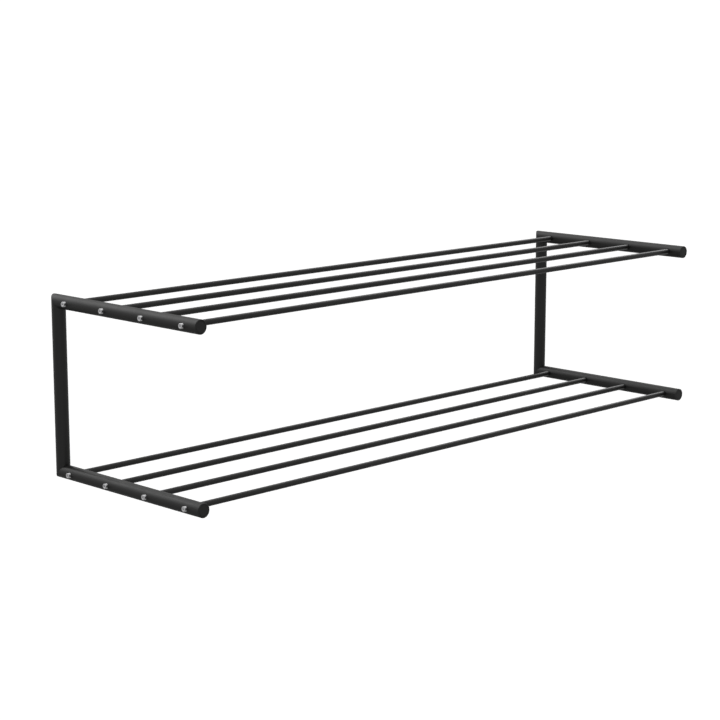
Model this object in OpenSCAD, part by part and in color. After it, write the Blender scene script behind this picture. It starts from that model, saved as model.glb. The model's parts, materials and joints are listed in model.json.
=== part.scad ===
// Wall-mounted rack with two tiers of round rods between two mitred tube brackets.
//
// Millimetres. +X runs along the rods, to the right as seen from the front. +Y points into the
// wall, whose surface is the plane y = 0. +Z is up. The origin is on the wall, halfway between the
// brackets and halfway up them: the centre of the four keyholes that the rack hangs from.

/* [Overall size] */
// Width over the two brackets, without the screw heads
rack_w = 1020; // [500:5:1400]
// Height over the two tiers
rack_h = 250; // [180:5:450]
// Depth from the wall to the front of the arms
rack_d = 300; // [220:5:450]

/* [Bracket tubes] */
// Outside diameter of the tubes
tube_dia = 19; // [15:0.5:25]
// Wall thickness of the tubes
tube_wall = 2; // [1.5:0.1:3]

/* [Rods] */
// Number of rods in each tier
rod_count = 4; // [2:1:6]
// Diameter of the rods
rod_dia = 8; // [6:0.1:10]
// Chamfer around the rods' ends
rod_chamfer = 0.4; // [0.2:0.1:0.8]
// Distance from the front of the arms to the axis of the front rod
front_margin = 23.5; // [22:0.5:40]
// Distance from the wall to the axis of the rear rod
rear_margin = 36.5; // [32:0.5:60]
// Gap around a rod in the hole it passes through
rod_clearance = 0.1; // [0.05:0.05:0.3]

/* [Rod screws] */
// Diameter of the screws' threads
screw_dia = 4; // [3:0.5:5]
// Length of the screws under their heads
screw_length = 12; // [10:1:16]
// Diameter of the screw heads
head_dia = 7; // [6:0.5:9]
// Height of the screw heads
head_height = 4; // [2.5:0.5:5]
// Width across the flats of the socket in the heads
socket_flats = 3; // [2:0.5:4]
// Depth of the socket in the heads
socket_depth = 2; // [1:0.5:2.5]
// Gap around a screw in the arm's outer wall
screw_clearance = 0.25; // [0.1:0.05:0.5]
// Empty depth of tapped hole left past a screw's tip
tap_spare = 3; // [1:0.5:6]

/* [End plugs] */
// Length of the plugs in the arms
plug_length = 14; // [10:1:16]
// Thickness of the plugs' front discs
plug_face = 2.5; // [1.5:0.5:4]
// Chamfer around the front discs
plug_chamfer = 0.5; // [0.2:0.1:1]
// Thickness of the plugs' shank wall
plug_wall = 1.5; // [1:0.25:2]
// Height of the ribs on the shank, which grip the tube
rib_height = 1.5; // [0.5:0.25:2]
// Width of each rib
rib_width = 1.2; // [0.8:0.1:1.5]

/* [Wall keyholes] */
// Diameter of the round opening that a wall screw's head goes through
keyhole_dia = 9; // [8:0.5:10]
// Width of the slot that a wall screw's shank moves up in
keyhole_slot = 5; // [4:0.5:6]
// Distance that the rack drops onto the wall screws
keyhole_drop = 9; // [7:0.5:12]
// Distance from the upright's end to the centre of the round opening
keyhole_inset = 50; // [40:1:70]

/* [Hidden] */
$fn = 96;
tube_r = tube_dia / 2;
bore_r = tube_r - tube_wall;
rod_r = rod_dia / 2;
bracket_x = rack_w / 2 - tube_r;
tier_z = rack_h / 2 - tube_r;
rod_pitch = (rack_d - front_margin - rear_margin) / (rod_count - 1);

// How far from an arm's axis a rod's flat end comes to rest against the curved inside of the tube
rod_seat = sqrt(pow(bore_r, 2) - pow(rod_r - rod_chamfer, 2));
rod_half_length = bracket_x + rod_seat;
tap_depth = screw_length - (tube_r - rod_seat) + tap_spare;

shank_chamfer = 0.5;
head_chamfer = 0.4;
rib_count = 3;
past = 1; // how far a cutting tool runs past the surface it cuts

SIDES = ["left", "right"];
TIERS = ["upper", "lower"];
ROW = [1 : rod_count];

black = [0.13, 0.13, 0.125];
plug_black = [0.1, 0.1, 0.1];
bright_zinc = [0.78, 0.78, 0.8];

// Depth of a rod's axis: number 1 is nearest the wall
function rod_y(n) = -rear_margin - (n - 1) * rod_pitch;

// Puts what is drawn for a left bracket, centred on x = 0 with its outer face towards -X, in place
module on_side(side) {
    translate([side == "left" ? -bracket_x : bracket_x, 0, 0])
        mirror([side == "left" ? 0 : 1, 0, 0])
            children();
}

// Turns what is drawn for the upper tier over for the lower one
module on_tier(tier) {
    mirror([0, 0, tier == "upper" ? 0 : 1])
        children();
}

module tube(length) {
    difference() {
        cylinder(r = tube_r, h = length);
        translate([0, 0, -past])
            cylinder(r = bore_r, h = length + 2 * past);
    }
}

// A block on one side of the plane z = y, at which an upright and an arm meet: above it, or below
module mitre_block(above) {
    size = 3 * tube_dia;
    rotate([45, 0, 0])
        translate([-size / 2, -size / 2, above ? 0 : -size])
            cube(size);
}

// An opening in the rear wall of an upright, its round part centred on z = 0
module keyhole() {
    translate([0, past, 0])
        rotate([90, 0, 0]) {
            cylinder(d = keyhole_dia, h = tube_r + past);
            translate([0, keyhole_drop, 0])
                cylinder(d = keyhole_slot, h = tube_r + past);
            translate([-keyhole_slot / 2, 0, 0])
                cube([keyhole_slot, keyhole_drop, tube_r + past]);
        }
}

module upright() {
    color(black)
        difference() {
            translate([0, -tube_r, -rack_h / 2])
                tube(rack_h);
            for (tier = TIERS)
                on_tier(tier)
                    translate([0, 0, rack_h / 2])
                        mitre_block(above = true);
            for (z = [rack_h / 2 - keyhole_inset, keyhole_inset - rack_h / 2])
                translate([0, 0, z])
                    keyhole();
        }
}

// The upper arm of a left bracket: each rod enters through the inner wall, its screw the outer one
module arm() {
    color(black)
        difference() {
            translate([0, 0, tier_z])
                rotate([90, 0, 0])
                    tube(rack_d);
            translate([0, 0, rack_h / 2])
                mitre_block(above = false);
            for (n = ROW)
                translate([0, rod_y(n), tier_z]) {
                    rotate([0, 90, 0])
                        cylinder(r = rod_r + rod_clearance, h = tube_r + past);
                    rotate([0, -90, 0])
                        cylinder(r = screw_dia / 2 + screw_clearance, h = tube_r + past);
                }
        }
}

// A ribbed plug, its face flush with the front of the upper arm of a left bracket
module end_plug() {
    shank_r = bore_r - rib_height;
    rib_pitch = (plug_length - plug_face) / rib_count;
    color(plug_black)
        translate([0, -rack_d, tier_z])
            rotate([-90, 0, 0])
                difference() {
                    rotate_extrude()
                        union() {
                            polygon([
                                [0, 0],
                                [bore_r - plug_chamfer, 0],
                                [bore_r, plug_chamfer],
                                [bore_r, plug_face],
                                [0, plug_face]
                            ]);
                            translate([0, plug_face])
                                square([shank_r, plug_length - plug_face]);
                            for (rib = [1 : rib_count])
                                translate([0, plug_face + rib * rib_pitch - rib_width])
                                    square([bore_r, rib_width]);
                        }
                    translate([0, 0, plug_face])
                        cylinder(r = shank_r - plug_wall, h = plug_length);
                }
}

module rod(tier, n) {
    color(black)
        on_tier(tier)
            translate([0, rod_y(n), tier_z])
                rotate([0, 90, 0])
                    difference() {
                        rotate_extrude()
                            polygon([
                                [0, -rod_half_length],
                                [rod_r - rod_chamfer, -rod_half_length],
                                [rod_r, rod_chamfer - rod_half_length],
                                [rod_r, rod_half_length - rod_chamfer],
                                [rod_r - rod_chamfer, rod_half_length],
                                [0, rod_half_length]
                            ]);
                        for (end = [0, 1])
                            mirror([0, 0, end])
                                translate([0, 0, rod_half_length - tap_depth])
                                    cylinder(d = screw_dia, h = tap_depth + past);
                    }
}

// A socket-head screw of the upper arm of a left bracket, its head drawn up against the tube
module screw(n) {
    color(bright_zinc)
        translate([-tube_r, rod_y(n), tier_z])
            rotate([0, -90, 0])
                difference() {
                    rotate_extrude()
                        polygon([
                            [0, -screw_length],
                            [screw_dia / 2 - shank_chamfer, -screw_length],
                            [screw_dia / 2, shank_chamfer - screw_length],
                            [screw_dia / 2, 0],
                            [head_dia / 2, 0],
                            [head_dia / 2, head_height - head_chamfer],
                            [head_dia / 2 - head_chamfer, head_height],
                            [0, head_height]
                        ]);
                    translate([0, 0, head_height - socket_depth])
                        cylinder(d = socket_flats / cos(30), h = socket_depth + past, $fn = 6);
                }
}

for (side = SIDES) {
    on_side(side) upright();
    for (tier = TIERS) {
        on_side(side) on_tier(tier) arm();
        on_side(side) on_tier(tier) end_plug();
        for (n = ROW)
            on_side(side) on_tier(tier) screw(n);
    }
}
for (tier = TIERS, n = ROW)
    rod(tier, n);
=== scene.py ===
"""Wall-mounted two-tier rod rack: black powder-coated tube brackets, rods and bright socket-head screws."""

import json
import math

import bmesh
import bpy
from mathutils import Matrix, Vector


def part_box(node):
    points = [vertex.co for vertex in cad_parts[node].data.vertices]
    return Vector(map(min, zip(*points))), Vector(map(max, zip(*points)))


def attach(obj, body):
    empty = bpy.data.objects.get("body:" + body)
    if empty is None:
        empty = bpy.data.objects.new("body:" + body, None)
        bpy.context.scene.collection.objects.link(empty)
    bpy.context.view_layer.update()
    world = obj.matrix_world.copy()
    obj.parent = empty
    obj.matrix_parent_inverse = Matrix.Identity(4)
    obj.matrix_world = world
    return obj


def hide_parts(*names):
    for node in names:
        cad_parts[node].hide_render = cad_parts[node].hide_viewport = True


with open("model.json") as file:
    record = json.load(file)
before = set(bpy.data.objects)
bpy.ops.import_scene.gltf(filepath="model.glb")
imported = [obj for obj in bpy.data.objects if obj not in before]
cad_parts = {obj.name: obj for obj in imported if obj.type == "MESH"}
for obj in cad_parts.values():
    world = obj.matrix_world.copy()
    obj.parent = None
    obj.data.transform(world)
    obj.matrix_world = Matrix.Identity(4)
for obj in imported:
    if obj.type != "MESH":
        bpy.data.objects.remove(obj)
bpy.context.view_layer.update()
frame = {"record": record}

MM = 0.001
SIDES = ("left", "right")
TIERS = ("upper", "lower")
RODS = (1, 2, 3, 4)

# ---------------------------------------------------------------- sizes, all from the frame
arm_low, arm_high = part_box("left_upper_arm")
plug_low, plug_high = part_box("left_upper_end_plug")
rod_low, rod_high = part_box("upper_rod_1")
screw_low, screw_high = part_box("left_upper_screw_1")

TUBE_R = (arm_high.x - arm_low.x) / 2
BRACKET_X = -(arm_low.x + arm_high.x) / 2
BORE_R = BRACKET_X + plug_high.x
TIER_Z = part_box("left_upright")[1].z - TUBE_R
RACK_DEPTH = -arm_low.y
ROD_R = (rod_high.z - rod_low.z) / 2
ROD_HALF = rod_high.x
ROD_Y = [sum(corner.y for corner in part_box(f"upper_rod_{n}")) / 2 for n in RODS]
HEAD_R = screw_high.z - TIER_Z
HEAD_HEIGHT = arm_low.x - screw_low.x
SCREW_LENGTH = screw_high.x - arm_low.x
PLUG_LENGTH = plug_high.y - plug_low.y

keyholes = next(m for m in frame["record"]["mounts"] if m["name"] == "wall_keyholes")["dims"]
KEYHOLE_R = keyholes["hole_r_mm"] * MM
KEYHOLE_Z = keyholes["spacing_y_mm"] * MM / 2

# ---------------------------------------------------------------- details that the frame's boxes don't show
KEYHOLE_SLOT_R = 2.5 * MM
KEYHOLE_DROP = 9 * MM
KEYHOLE_EYE = 3 * MM  # the point in a keyhole, above its mouth's middle, that its outline is drawn from
ROD_HOLE_R = ROD_R + 0.1 * MM
ROD_CHAMFER = 0.4 * MM
SCREW_R = 2 * MM
SCREW_HOLE_R = 2.25 * MM
SCREW_TIP_CHAMFER = 0.5 * MM
TAP_DEPTH = SCREW_LENGTH - (TUBE_R - (ROD_HALF - BRACKET_X)) + 3 * MM
TAP_CONE = 1 * MM
SOCKET_FLATS = 3 * MM
SOCKET_DEPTH = 2 * MM
SOCKET_CONE = 0.5 * MM
SOCKET_LEAD_IN = 0.2 * MM
SOCKET_LEAD_DEPTH = 0.25 * MM
HEAD_ROUND = 0.4 * MM
HEAD_CHAMFER = 0.2 * MM
PLUG_FACE = 2.5 * MM
PLUG_CHAMFER = 0.5 * MM
PLUG_CROWN_WIDTH = 0.2 * MM
PLUG_CROWN_HEIGHT = 0.04 * MM
PLUG_WALL = 1.5 * MM
RIB_HEIGHT = 1.5 * MM
RIB_WIDTH = 1.2 * MM
RIB_SLOPE = 0.3 * MM
RIB_COUNT = 3
COAT_ROUND = 0.3 * MM
SEAM_BEVEL = 0.15 * MM
SEAM_RUN = SEAM_BEVEL * 1.5

# ---------------------------------------------------------------- how fine the meshes are
AROUND_TUBE = 64
AROUND_TURNED = 48
ARC_STEPS = 3
SHARP_ANGLE = math.radians(38)
ROUND_HOLE_CELLS = 6  # half the side of a round hole's block of cells
KEYHOLE_CELLS = 8  # half the width of a keyhole's block of cells
KEYHOLE_ROWS = 24
KEYHOLE_MARGIN_CELLS = 3
ROWS_BETWEEN_KEYHOLES = 10
ROWS_BETWEEN_RODS = 6
ROD_LENGTHS = 24
MITRE_MARGIN = 4 * MM
FRONT_MARGIN = 8 * MM
CELL = 2 * math.pi * TUBE_R / AROUND_TUBE


# ---------------------------------------------------------------- mesh helpers
def new_piece(name, bm, material, node, at=(0, 0, 0), turn=(0, 0, 0), face_weight=80):
    """Turns a bmesh into a smooth-shaded piece that rides on the root body in a CAD node's place."""
    bmesh.ops.recalc_face_normals(bm, faces=bm.faces)
    mesh = bpy.data.meshes.new(name)
    bm.to_mesh(mesh)
    bm.free()
    for polygon in mesh.polygons:
        polygon.use_smooth = True
    mesh.set_sharp_from_angle(angle=SHARP_ANGLE)
    mesh.materials.append(material)
    piece = bpy.data.objects.new(name, mesh)
    bpy.context.scene.collection.objects.link(piece)
    piece.location = at
    piece.rotation_euler = turn
    weighted = piece.modifiers.new("weighted_normals", "WEIGHTED_NORMAL")
    weighted.keep_sharp = True
    weighted.weight = face_weight
    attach(piece, "root")
    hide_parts(node)


def bridge(bm, ring_a, ring_b):
    """Joins two closed rings of as many vertices with quads."""
    count = len(ring_a)
    for k in range(count):
        after = (k + 1) % count
        bm.faces.new((ring_a[k], ring_a[after], ring_b[after], ring_b[k]))


def fan(bm, tip, rim):
    """Closes a ring onto one vertex with triangles."""
    for k, vertex in enumerate(rim):
        bm.faces.new((tip, vertex, rim[(k + 1) % len(rim)]))


def turned(bm, rings, place):
    """A closed turned body from (radius or radius by angle, height) rings; its ends close on points."""
    previous = None
    for radius, height in rings:
        if radius == 0:
            ring = [bm.verts.new(place(0, 0, height))]
        else:
            ring = []
            for k in range(AROUND_TURNED):
                angle = 2 * math.pi * k / AROUND_TURNED
                r = radius(angle) if callable(radius) else radius
                ring.append(bm.verts.new(place(r * math.cos(angle), r * math.sin(angle), height)))
        if previous is not None:
            if len(previous) == 1:
                fan(bm, previous[0], ring)
            elif len(ring) == 1:
                fan(bm, ring[0], previous)
            else:
                bridge(bm, previous, ring)
        previous = ring


def quarter_round(centre_r, centre_h, radius):
    """(radius, height) points around a quarter circle of a turned outline, from its side to its top."""
    points = []
    for step in range(ARC_STEPS + 1):
        angle = math.pi / 2 * step / ARC_STEPS
        points.append((centre_r + radius * math.cos(angle), centre_h + radius * math.sin(angle)))
    return points


# ---------------------------------------------------------------- drilled tubes
def level(along):
    """A row of vertices square to the tube."""
    return lambda angle, radius: along


def round_outline(radius):
    """Distance from a round hole's centre to its edge grown by a margin, the same in any direction."""
    return lambda angle, grow: radius + grow


def keyhole_outline(angle, grow):
    """The same for a keyhole, from its eye. Angle 0 points up the slot."""
    along, across = math.cos(angle), math.sin(angle)
    mouth = KEYHOLE_R + grow
    reach = -KEYHOLE_EYE * along + math.sqrt((KEYHOLE_EYE * along) ** 2 - KEYHOLE_EYE ** 2 + mouth ** 2)
    if along > 0:
        slot = KEYHOLE_SLOT_R + grow
        to_slot = slot / max(abs(across), 1e-9)
        above = KEYHOLE_DROP - KEYHOLE_EYE
        if to_slot * along > above:
            to_slot = above * along + math.sqrt(max((above * along) ** 2 - above ** 2 + slot ** 2, 0))
        reach = max(reach, to_slot)
    return reach


class Hole:
    """A hole whose axis crosses the tube's.

    facing is the side of the tube it is in, along its place on the tube's axis and outline its shape.
    Its block of cells is 2 * half_cells wide and lies between the rows low and high."""

    def __init__(self, facing, along, outline, half_cells, low, high):
        middle = round(facing / (2 * math.pi) * AROUND_TUBE)
        self.facing = facing
        self.along = along
        self.outline = outline
        self.columns = [(middle + k) % AROUND_TUBE for k in range(-half_cells, half_cells + 1)]
        self.low = low
        self.high = high


def tube(bm, place, rows, lips, holes):
    """A drilled tube as one closed mesh of quads.

    place(along, angle, radius) gives a point. rows are functions of (angle, radius) that give how far
    along the tube each row of vertices lies. lips holds the rings that close the first and last end
    from the outside in, as (row, radius). Each hole takes the cells between two of the rows."""
    angles = [2 * math.pi * j / AROUND_TUBE for j in range(AROUND_TUBE)]
    taken = {(i, j) for hole in holes for i in range(hole.low, hole.high) for j in hole.columns[:-1]}

    grids = []
    for radius in (TUBE_R, BORE_R):
        grid = {}
        for i, row in enumerate(rows):
            for j, angle in enumerate(angles):
                before = (j - 1) % AROUND_TUBE
                if not {(i - 1, j), (i, j), (i - 1, before), (i, before)} <= taken:
                    grid[i, j] = bm.verts.new(place(row(angle, radius), angle, radius))
        for i in range(len(rows) - 1):
            for j in range(AROUND_TUBE):
                if (i, j) not in taken:
                    after = (j + 1) % AROUND_TUBE
                    bm.faces.new((grid[i, j], grid[i + 1, j], grid[i + 1, after], grid[i, after]))
        grids.append(grid)

    for lip, i in zip(lips, (0, len(rows) - 1)):
        previous = [grids[0][i, j] for j in range(AROUND_TUBE)]
        for row, radius in lip:
            ring = [bm.verts.new(place(row(a, radius), a, radius)) for a in angles]
            bridge(bm, previous, ring)
            previous = ring
        bridge(bm, previous, [grids[1][i, j] for j in range(AROUND_TUBE)])

    for hole in holes:
        drill(bm, place, rows, angles, grids, hole)


def drill(bm, place, rows, angles, grids, hole):
    """Fills a hole's block of cells with rings from the block's edge in to the hole, and lines the hole."""
    left, right = hole.columns[0], hole.columns[-1]
    edge = [(i, left) for i in range(hole.low, hole.high)]
    edge += [(hole.high, j) for j in hole.columns[:-1]]
    edge += [(i, right) for i in range(hole.high, hole.low, -1)]
    edge += [(hole.low, j) for j in reversed(hole.columns[1:])]

    def flat(key, radius):
        """A grid vertex seen along the hole's axis, from the hole's centre."""
        i, j = key
        return Vector((rows[i](angles[j], radius) - hole.along, radius * math.sin(angles[j] - hole.facing)))

    outside = [flat(key, TUBE_R) for key in edge]
    inside = [flat(key, BORE_R) for key in edge]
    bearings = [math.atan2(point.y, point.x) for point in outside]

    def rim(grow):
        return [Vector((math.cos(b), math.sin(b))) * hole.outline(b, grow) for b in bearings]

    def ring(points, radius, depth):
        """Vertices at flat points, depth below the tube's surface of that radius."""
        made = []
        for point in points:
            height = math.sqrt(radius ** 2 - point.y ** 2) - depth
            angle = hole.facing + math.atan2(point.y, height)
            made.append(bm.verts.new(place(hole.along + point.x, angle, math.hypot(point.y, height))))
        return made

    rings = []
    for share in (0.4, 0.75, 1.0):
        rings.append(([a.lerp(b, share) for a, b in zip(outside, rim(COAT_ROUND))], TUBE_R, 0))
    for step in range(1, ARC_STEPS + 1):
        turn = math.pi / 2 * step / ARC_STEPS
        rings.append((rim(COAT_ROUND * (1 - math.sin(turn))), TUBE_R, COAT_ROUND * (1 - math.cos(turn))))
    for share in (0.0, 0.5):
        rings.append(([a.lerp(b, share) for a, b in zip(rim(0), inside)], BORE_R, 0))

    previous = [grids[0][key] for key in edge]
    for points, radius, depth in rings:
        current = ring(points, radius, depth)
        bridge(bm, previous, current)
        previous = current
    bridge(bm, previous, [grids[1][key] for key in edge])


# ---------------------------------------------------------------- materials
def node_material(name):
    material = bpy.data.materials.new(name)
    material.use_nodes = True
    nodes = material.node_tree.nodes
    return material, nodes, material.node_tree.links, nodes["Principled BSDF"]


def noise(nodes, links, vector, scale, detail=2.0):
    texture = nodes.new("ShaderNodeTexNoise")
    texture.inputs["Scale"].default_value = scale
    texture.inputs["Detail"].default_value = detail
    links.new(vector, texture.inputs["Vector"])
    return texture.outputs["Fac"]


def remap(nodes, links, value, low, high):
    """Spreads the middle of a noise's range between two values."""
    spread = nodes.new("ShaderNodeMapRange")
    spread.inputs["From Min"].default_value = 0.3
    spread.inputs["From Max"].default_value = 0.7
    spread.inputs["To Min"].default_value = low
    spread.inputs["To Max"].default_value = high
    links.new(value, spread.inputs["Value"])
    return spread.outputs["Result"]


def two_tone(nodes, links, value, dark, light):
    """Spreads the middle of a noise's range between two colours."""
    ramp = nodes.new("ShaderNodeValToRGB")
    for element, position, colour in zip(ramp.color_ramp.elements, (0.3, 0.7), (dark, light)):
        element.position = position
        element.color = (*colour, 1)
    links.new(value, ramp.inputs["Fac"])
    return ramp.outputs["Color"]


def bumps(nodes, links, heights, shader):
    """Stacks (value, strength, distance) bumps into the shader's normal."""
    normal = None
    for value, strength, distance in heights:
        bump = nodes.new("ShaderNodeBump")
        bump.inputs["Strength"].default_value = strength
        bump.inputs["Distance"].default_value = distance
        links.new(value, bump.inputs["Height"])
        if normal is not None:
            links.new(normal, bump.inputs["Normal"])
        normal = bump.outputs["Normal"]
    links.new(normal, shader.inputs["Normal"])


def powder_coat(name, dull, gloss, relief):
    """Black powder coat: slight orange peel, fine grain and faint changes of gloss."""
    material, nodes, links, shader = node_material(name)
    place = nodes.new("ShaderNodeTexCoord").outputs["Object"]
    cloud = noise(nodes, links, place, 40)
    peel = noise(nodes, links, place, 900)
    grain = noise(nodes, links, place, 4200, 3)
    links.new(two_tone(nodes, links, cloud, (0.0125, 0.0125, 0.012), (0.0165, 0.0165, 0.016)),
              shader.inputs["Base Color"])
    links.new(remap(nodes, links, cloud, gloss, dull), shader.inputs["Roughness"])
    bumps(nodes, links, [(peel, 0.25 * relief, 0.00006), (grain, 0.18 * relief, 0.00002)], shader)
    return material


def moulded_plastic():
    """Black moulded plastic with a fine eroded texture."""
    material, nodes, links, shader = node_material("black_moulded_plastic")
    place = nodes.new("ShaderNodeTexCoord").outputs["Object"]
    cloud = noise(nodes, links, place, 120)
    texture = noise(nodes, links, place, 3000, 4)
    links.new(two_tone(nodes, links, cloud, (0.013, 0.013, 0.0128), (0.017, 0.017, 0.0165)),
              shader.inputs["Base Color"])
    links.new(remap(nodes, links, texture, 0.42, 0.52), shader.inputs["Roughness"])
    bumps(nodes, links, [(texture, 0.3, 0.00003)], shader)
    return material


def zinc_plate():
    """Bright zinc plate over a turned head: fine rings around the axis and a clouded gloss."""
    material, nodes, links, shader = node_material("bright_zinc_plate")
    shader.inputs["Metallic"].default_value = 1.0
    place = nodes.new("ShaderNodeTexCoord").outputs["Object"]
    rings = nodes.new("ShaderNodeTexWave")
    rings.wave_type = "RINGS"
    rings.rings_direction = "Z"
    rings.inputs["Scale"].default_value = 900
    rings.inputs["Distortion"].default_value = 1.5
    rings.inputs["Detail"].default_value = 2
    links.new(place, rings.inputs["Vector"])
    cloud = noise(nodes, links, place, 500, 3)
    links.new(two_tone(nodes, links, cloud, (0.83, 0.83, 0.84), (0.93, 0.93, 0.94)),
              shader.inputs["Base Color"])
    links.new(remap(nodes, links, cloud, 0.12, 0.2), shader.inputs["Roughness"])
    bumps(nodes, links, [(rings.outputs["Fac"], 0.15, 0.00001), (cloud, 0.1, 0.00003)], shader)
    return material


BRACKET_COAT = powder_coat("satin_black_powder_coat", 0.44, 0.36, 1.0)
ROD_COAT = powder_coat("smooth_black_powder_coat", 0.30, 0.24, 0.4)
PLASTIC = moulded_plastic()
ZINC = zinc_plate()


# ---------------------------------------------------------------- pieces
def outward(side):
    """Which way along X a bracket's outer face looks."""
    return -1 if side == "left" else 1


def up(tier):
    """Which way along Z a tier lies from the rack's middle."""
    return 1 if tier == "upper" else -1


def make_upright(side):
    """A tube along Z, mitred at both ends, with two keyholes facing the wall."""
    def place(along, angle, radius):
        across = radius * math.cos(angle)
        return Vector((outward(side) * (BRACKET_X - across), radius * math.sin(angle) - TUBE_R, along))

    def mitre(end, gap=0.0):
        return lambda angle, radius: end * (TIER_Z + radius * math.sin(angle) - gap)

    straight = TIER_Z - TUBE_R - MITRE_MARGIN
    margin = KEYHOLE_MARGIN_CELLS * CELL
    below = KEYHOLE_R + margin
    above = KEYHOLE_DROP + KEYHOLE_SLOT_R + margin
    stations = [-straight]
    holes = []
    for z in (-KEYHOLE_Z, KEYHOLE_Z):
        first = len(stations) + 1
        last = first + KEYHOLE_ROWS
        stations += [z - below + (below + above) * k / KEYHOLE_ROWS for k in range(KEYHOLE_ROWS + 1)]
        holes.append(Hole(math.pi / 2, z + KEYHOLE_EYE, keyhole_outline, KEYHOLE_CELLS, first, last))
        if z < 0:
            gap = 2 * KEYHOLE_Z - below - above
            stations += [z + above + gap * k / ROWS_BETWEEN_KEYHOLES for k in range(1, ROWS_BETWEEN_KEYHOLES)]
    stations.append(straight)
    rows = [mitre(-1, SEAM_RUN)] + [level(s) for s in stations] + [mitre(1, SEAM_RUN)]
    lips = [[(mitre(end), TUBE_R - SEAM_BEVEL)] for end in (-1, 1)]
    bm = bmesh.new()
    tube(bm, place, rows, lips, holes)
    name = f"{side}_upright"
    new_piece(f"{name}_coated", bm, BRACKET_COAT, name)


def make_arm(side, tier):
    """A tube along Y, mitred at the wall, with a rod hole and a screw hole at each rod."""
    def place(along, angle, radius):
        across = radius * math.cos(angle)
        return Vector((outward(side) * (BRACKET_X - across), -along,
                       up(tier) * (TIER_Z + radius * math.sin(angle))))

    def mitre(gap=0.0):
        return lambda angle, radius: TUBE_R - radius * math.sin(angle) + gap

    reach = ROUND_HOLE_CELLS * CELL
    stations = [2 * TUBE_R + MITRE_MARGIN]
    holes = []
    for n, y in zip(RODS, ROD_Y):
        first = len(stations) + 1
        last = first + 2 * ROUND_HOLE_CELLS
        stations += [-y + CELL * k for k in range(-ROUND_HOLE_CELLS, ROUND_HOLE_CELLS + 1)]
        holes.append(Hole(0.0, -y, round_outline(ROD_HOLE_R), ROUND_HOLE_CELLS, first, last))
        holes.append(Hole(math.pi, -y, round_outline(SCREW_HOLE_R), ROUND_HOLE_CELLS, first, last))
        if n < RODS[-1]:
            gap = y - ROD_Y[n] - 2 * reach
            stations += [reach - y + gap * k / ROWS_BETWEEN_RODS for k in range(1, ROWS_BETWEEN_RODS)]
    stations += [RACK_DEPTH - FRONT_MARGIN, RACK_DEPTH - COAT_ROUND]
    rows = [mitre(SEAM_RUN)] + [level(s) for s in stations]
    rounding = quarter_round(TUBE_R - COAT_ROUND, RACK_DEPTH - COAT_ROUND, COAT_ROUND)
    front = [(level(height), radius) for radius, height in rounding[1:]]
    front.append((level(RACK_DEPTH), BORE_R + COAT_ROUND))
    bm = bmesh.new()
    tube(bm, place, rows, [[(mitre(), TUBE_R - SEAM_BEVEL)], front], holes)
    name = f"{side}_{tier}_arm"
    new_piece(f"{name}_coated", bm, BRACKET_COAT, name)


def make_end_plug(side, tier):
    """A disc in the arm's front end, on a hollow shank with three sloping ribs."""
    def place(a, b, height):
        return Vector((outward(side) * BRACKET_X + a, height - RACK_DEPTH, up(tier) * TIER_Z + b))

    shank_r = BORE_R - RIB_HEIGHT
    rib_pitch = (PLUG_LENGTH - PLUG_FACE) / RIB_COUNT
    rings = [(0, 0), (BORE_R - PLUG_CHAMFER - PLUG_CROWN_WIDTH, 0)]
    rings += [(BORE_R - PLUG_CHAMFER, PLUG_CROWN_HEIGHT), (BORE_R, PLUG_CHAMFER), (BORE_R, PLUG_FACE)]
    for rib in range(1, RIB_COUNT + 1):
        back = PLUG_FACE + rib * rib_pitch
        rings += [(shank_r, back - rib_pitch), (shank_r, back - RIB_WIDTH)]
        rings += [(BORE_R, back - RIB_WIDTH + RIB_SLOPE), (BORE_R, back)]
    rings += [(shank_r - PLUG_WALL, PLUG_LENGTH), (shank_r - PLUG_WALL, PLUG_FACE), (0, PLUG_FACE)]
    bm = bmesh.new()
    turned(bm, rings, place)
    name = f"{side}_{tier}_end_plug"
    new_piece(f"{name}_moulded", bm, PLASTIC, name)


def make_rod(tier, n):
    """A chamfered rod along X with a tapped hole in each end."""
    def place(a, b, height):
        return Vector((height, ROD_Y[n - 1] + a, up(tier) * TIER_Z + b))

    end = [(0, TAP_DEPTH - ROD_HALF - TAP_CONE), (SCREW_R, TAP_DEPTH - ROD_HALF), (SCREW_R, -ROD_HALF)]
    end += [(ROD_R - ROD_CHAMFER, -ROD_HALF), (ROD_R, ROD_CHAMFER - ROD_HALF)]
    middle = [(ROD_R, ROD_HALF * (2 * k / ROD_LENGTHS - 1)) for k in range(1, ROD_LENGTHS)]
    bm = bmesh.new()
    turned(bm, end + middle + [(r, -h) for r, h in reversed(end)], place)
    name = f"{tier}_rod_{n}"
    new_piece(f"{name}_coated", bm, ROD_COAT, name)


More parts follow.
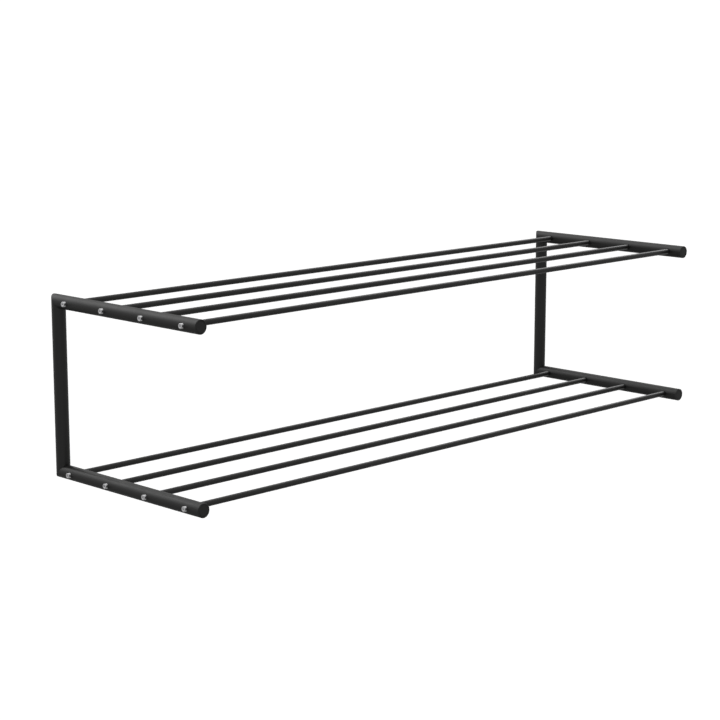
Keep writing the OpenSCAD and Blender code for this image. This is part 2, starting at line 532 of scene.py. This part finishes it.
def make_screw(side, tier, n):
    """A socket-head screw, modelled around its own axis so that its finish follows its turning."""
    def hexagon(angle):
        return SOCKET_FLATS / 2 / math.cos((angle + math.pi / 6) % (math.pi / 3) - math.pi / 6)

    top = HEAD_HEIGHT
    rings = [(0, -SCREW_LENGTH), (SCREW_R - SCREW_TIP_CHAMFER, -SCREW_LENGTH)]
    rings += [(SCREW_R, SCREW_TIP_CHAMFER - SCREW_LENGTH), (SCREW_R, 0)]
    rings += [(HEAD_R - HEAD_CHAMFER, 0), (HEAD_R, HEAD_CHAMFER)]
    rings += quarter_round(HEAD_R - HEAD_ROUND, top - HEAD_ROUND, HEAD_ROUND)
    rings += [(SOCKET_FLATS / math.sqrt(3) + SOCKET_LEAD_IN, top), (hexagon, top - SOCKET_LEAD_DEPTH)]
    rings += [(hexagon, top - SOCKET_DEPTH), (0, top - SOCKET_DEPTH - SOCKET_CONE)]
    bm = bmesh.new()
    turned(bm, rings, lambda a, b, height: Vector((a, b, height)))
    name = f"{side}_{tier}_screw_{n}"
    at = (outward(side) * (BRACKET_X + TUBE_R), ROD_Y[n - 1], up(tier) * TIER_Z)
    turn = (0, outward(side) * math.pi / 2, 0)
    new_piece(f"{name}_zinc", bm, ZINC, name, at, turn, face_weight=50)


for side in SIDES:
    make_upright(side)
    for tier in TIERS:
        make_arm(side, tier)
        make_end_plug(side, tier)
        for n in RODS:
            make_screw(side, tier, n)
for tier in TIERS:
    for n in RODS:
        make_rod(tier, n)


# ---------------------------------------------------------------- stage, light and camera
FLOOR_Z = -1.0
FLOOR_HALF = 60.0
BACKDROP_STRENGTH = 1.1
# The studio's glow by height, from straight down (-1) to straight up (1)
GLOW = ((-1.0, 0.12), (-0.45, 0.23), (-0.16, 0.37), (0.19, 0.39), (0.59, 0.45), (1.0, 0.5))
# Soft lights: azimuth from +Y towards +X and elevation in degrees, strength, and tightness
SOFT_LIGHTS = (
    (-14, 41, 1.7, 11.0),    # behind and above the left bracket, for the arms' tops
    (70, 30, 2.4, 35.0),     # behind the right end, for the lines along the rods
    (-142, -9, 0.08, 4.0),   # a faint fill from the camera's side
    (75, -44, 0.2, 10.0),    # from the floor behind, for the undersides of rods and screw heads
)
CAMERA_AT = (-1.9628, -2.0328, 0.5002)
CAMERA_TURN = 45.062
CAMERA_DIP = 10.664
CAMERA_LENS = 94.12


def make_floor():
    """A wide pale floor. It lights nothing: the rack's undersides see the dim lower half of the studio."""
    bm = bmesh.new()
    corners = [(-1, -1), (1, -1), (1, 1), (-1, 1)]
    bm.faces.new([bm.verts.new((x * FLOOR_HALF, y * FLOOR_HALF, FLOOR_Z)) for x, y in corners])
    mesh = bpy.data.meshes.new("floor")
    bm.to_mesh(mesh)
    bm.free()
    material, _, _, shader = node_material("pale_floor")
    shader.inputs["Base Color"].default_value = (0.98, 0.98, 0.98, 1)
    shader.inputs["Roughness"].default_value = 0.9
    shader.inputs["Emission Color"].default_value = (1, 1, 1, 1)
    shader.inputs["Emission Strength"].default_value = 0.35
    mesh.materials.append(material)
    floor = bpy.data.objects.new("floor", mesh)
    bpy.context.scene.collection.objects.link(floor)
    floor.visible_diffuse = False
    floor.visible_glossy = False
    floor.visible_shadow = False


def studio_light():
    """A dim studio that brightens with height, four soft lights, and a white backdrop for the camera."""
    world = bpy.data.worlds.new("studio")
    bpy.context.scene.world = world
    world.use_nodes = True
    nodes, links = world.node_tree.nodes, world.node_tree.links
    nodes.clear()

    def math_node(operation, first, second=None):
        node = nodes.new("ShaderNodeMath")
        node.operation = operation
        for socket, value in zip(node.inputs, (first, second)):
            if isinstance(value, (int, float)):
                socket.default_value = value
            elif value is not None:
                links.new(value, socket)
        return node.outputs[0]

    def background(strength):
        node = nodes.new("ShaderNodeBackground")
        node.inputs["Color"].default_value = (1, 1, 1, 1)
        if isinstance(strength, float):
            node.inputs["Strength"].default_value = strength
        else:
            links.new(strength, node.inputs["Strength"])
        return node.outputs["Background"]

    direction = nodes.new("ShaderNodeTexCoord").outputs["Generated"]
    split = nodes.new("ShaderNodeSeparateXYZ")
    links.new(direction, split.inputs["Vector"])
    ramp = nodes.new("ShaderNodeValToRGB")
    ramp.color_ramp.interpolation = "EASE"
    elements = ramp.color_ramp.elements
    for k, (height, glow) in enumerate(GLOW):
        element = elements[k] if k < 2 else elements.new(0.5)
        element.position = (height + 1) / 2
        element.color = (glow, glow, glow, 1)
    links.new(math_node("ADD", math_node("MULTIPLY", split.outputs["Z"], 0.5), 0.5), ramp.inputs["Fac"])
    strength = ramp.outputs["Color"]
    for azimuth, elevation, power, tightness in SOFT_LIGHTS:
        turn, rise = math.radians(azimuth), math.radians(elevation)
        aim = nodes.new("ShaderNodeVectorMath")
        aim.operation = "DOT_PRODUCT"
        aim.inputs[1].default_value = (math.sin(turn) * math.cos(rise), math.cos(turn) * math.cos(rise),
                                       math.sin(rise))
        links.new(direction, aim.inputs[0])
        away = math_node("SUBTRACT", aim.outputs["Value"], 1)
        fall = math_node("EXPONENT", math_node("MULTIPLY", away, tightness))
        strength = math_node("ADD", strength, math_node("MULTIPLY", fall, power))
    mix = nodes.new("ShaderNodeMixShader")
    links.new(nodes.new("ShaderNodeLightPath").outputs["Is Camera Ray"], mix.inputs["Fac"])
    links.new(background(strength), mix.inputs[1])
    links.new(background(BACKDROP_STRENGTH), mix.inputs[2])
    links.new(mix.outputs["Shader"], nodes.new("ShaderNodeOutputWorld").inputs["Surface"])


def make_camera():
    data = bpy.data.cameras.new("camera")
    data.lens = CAMERA_LENS
    data.sensor_width = 36
    data.clip_end = 200
    camera = bpy.data.objects.new("camera", data)
    camera.location = CAMERA_AT
    camera.rotation_euler = (math.radians(90 - CAMERA_DIP), 0, math.radians(-CAMERA_TURN))
    bpy.context.scene.collection.objects.link(camera)
    bpy.context.scene.camera = camera


make_floor()
studio_light()
make_camera()
bpy.context.scene.view_settings.view_transform = "Standard"
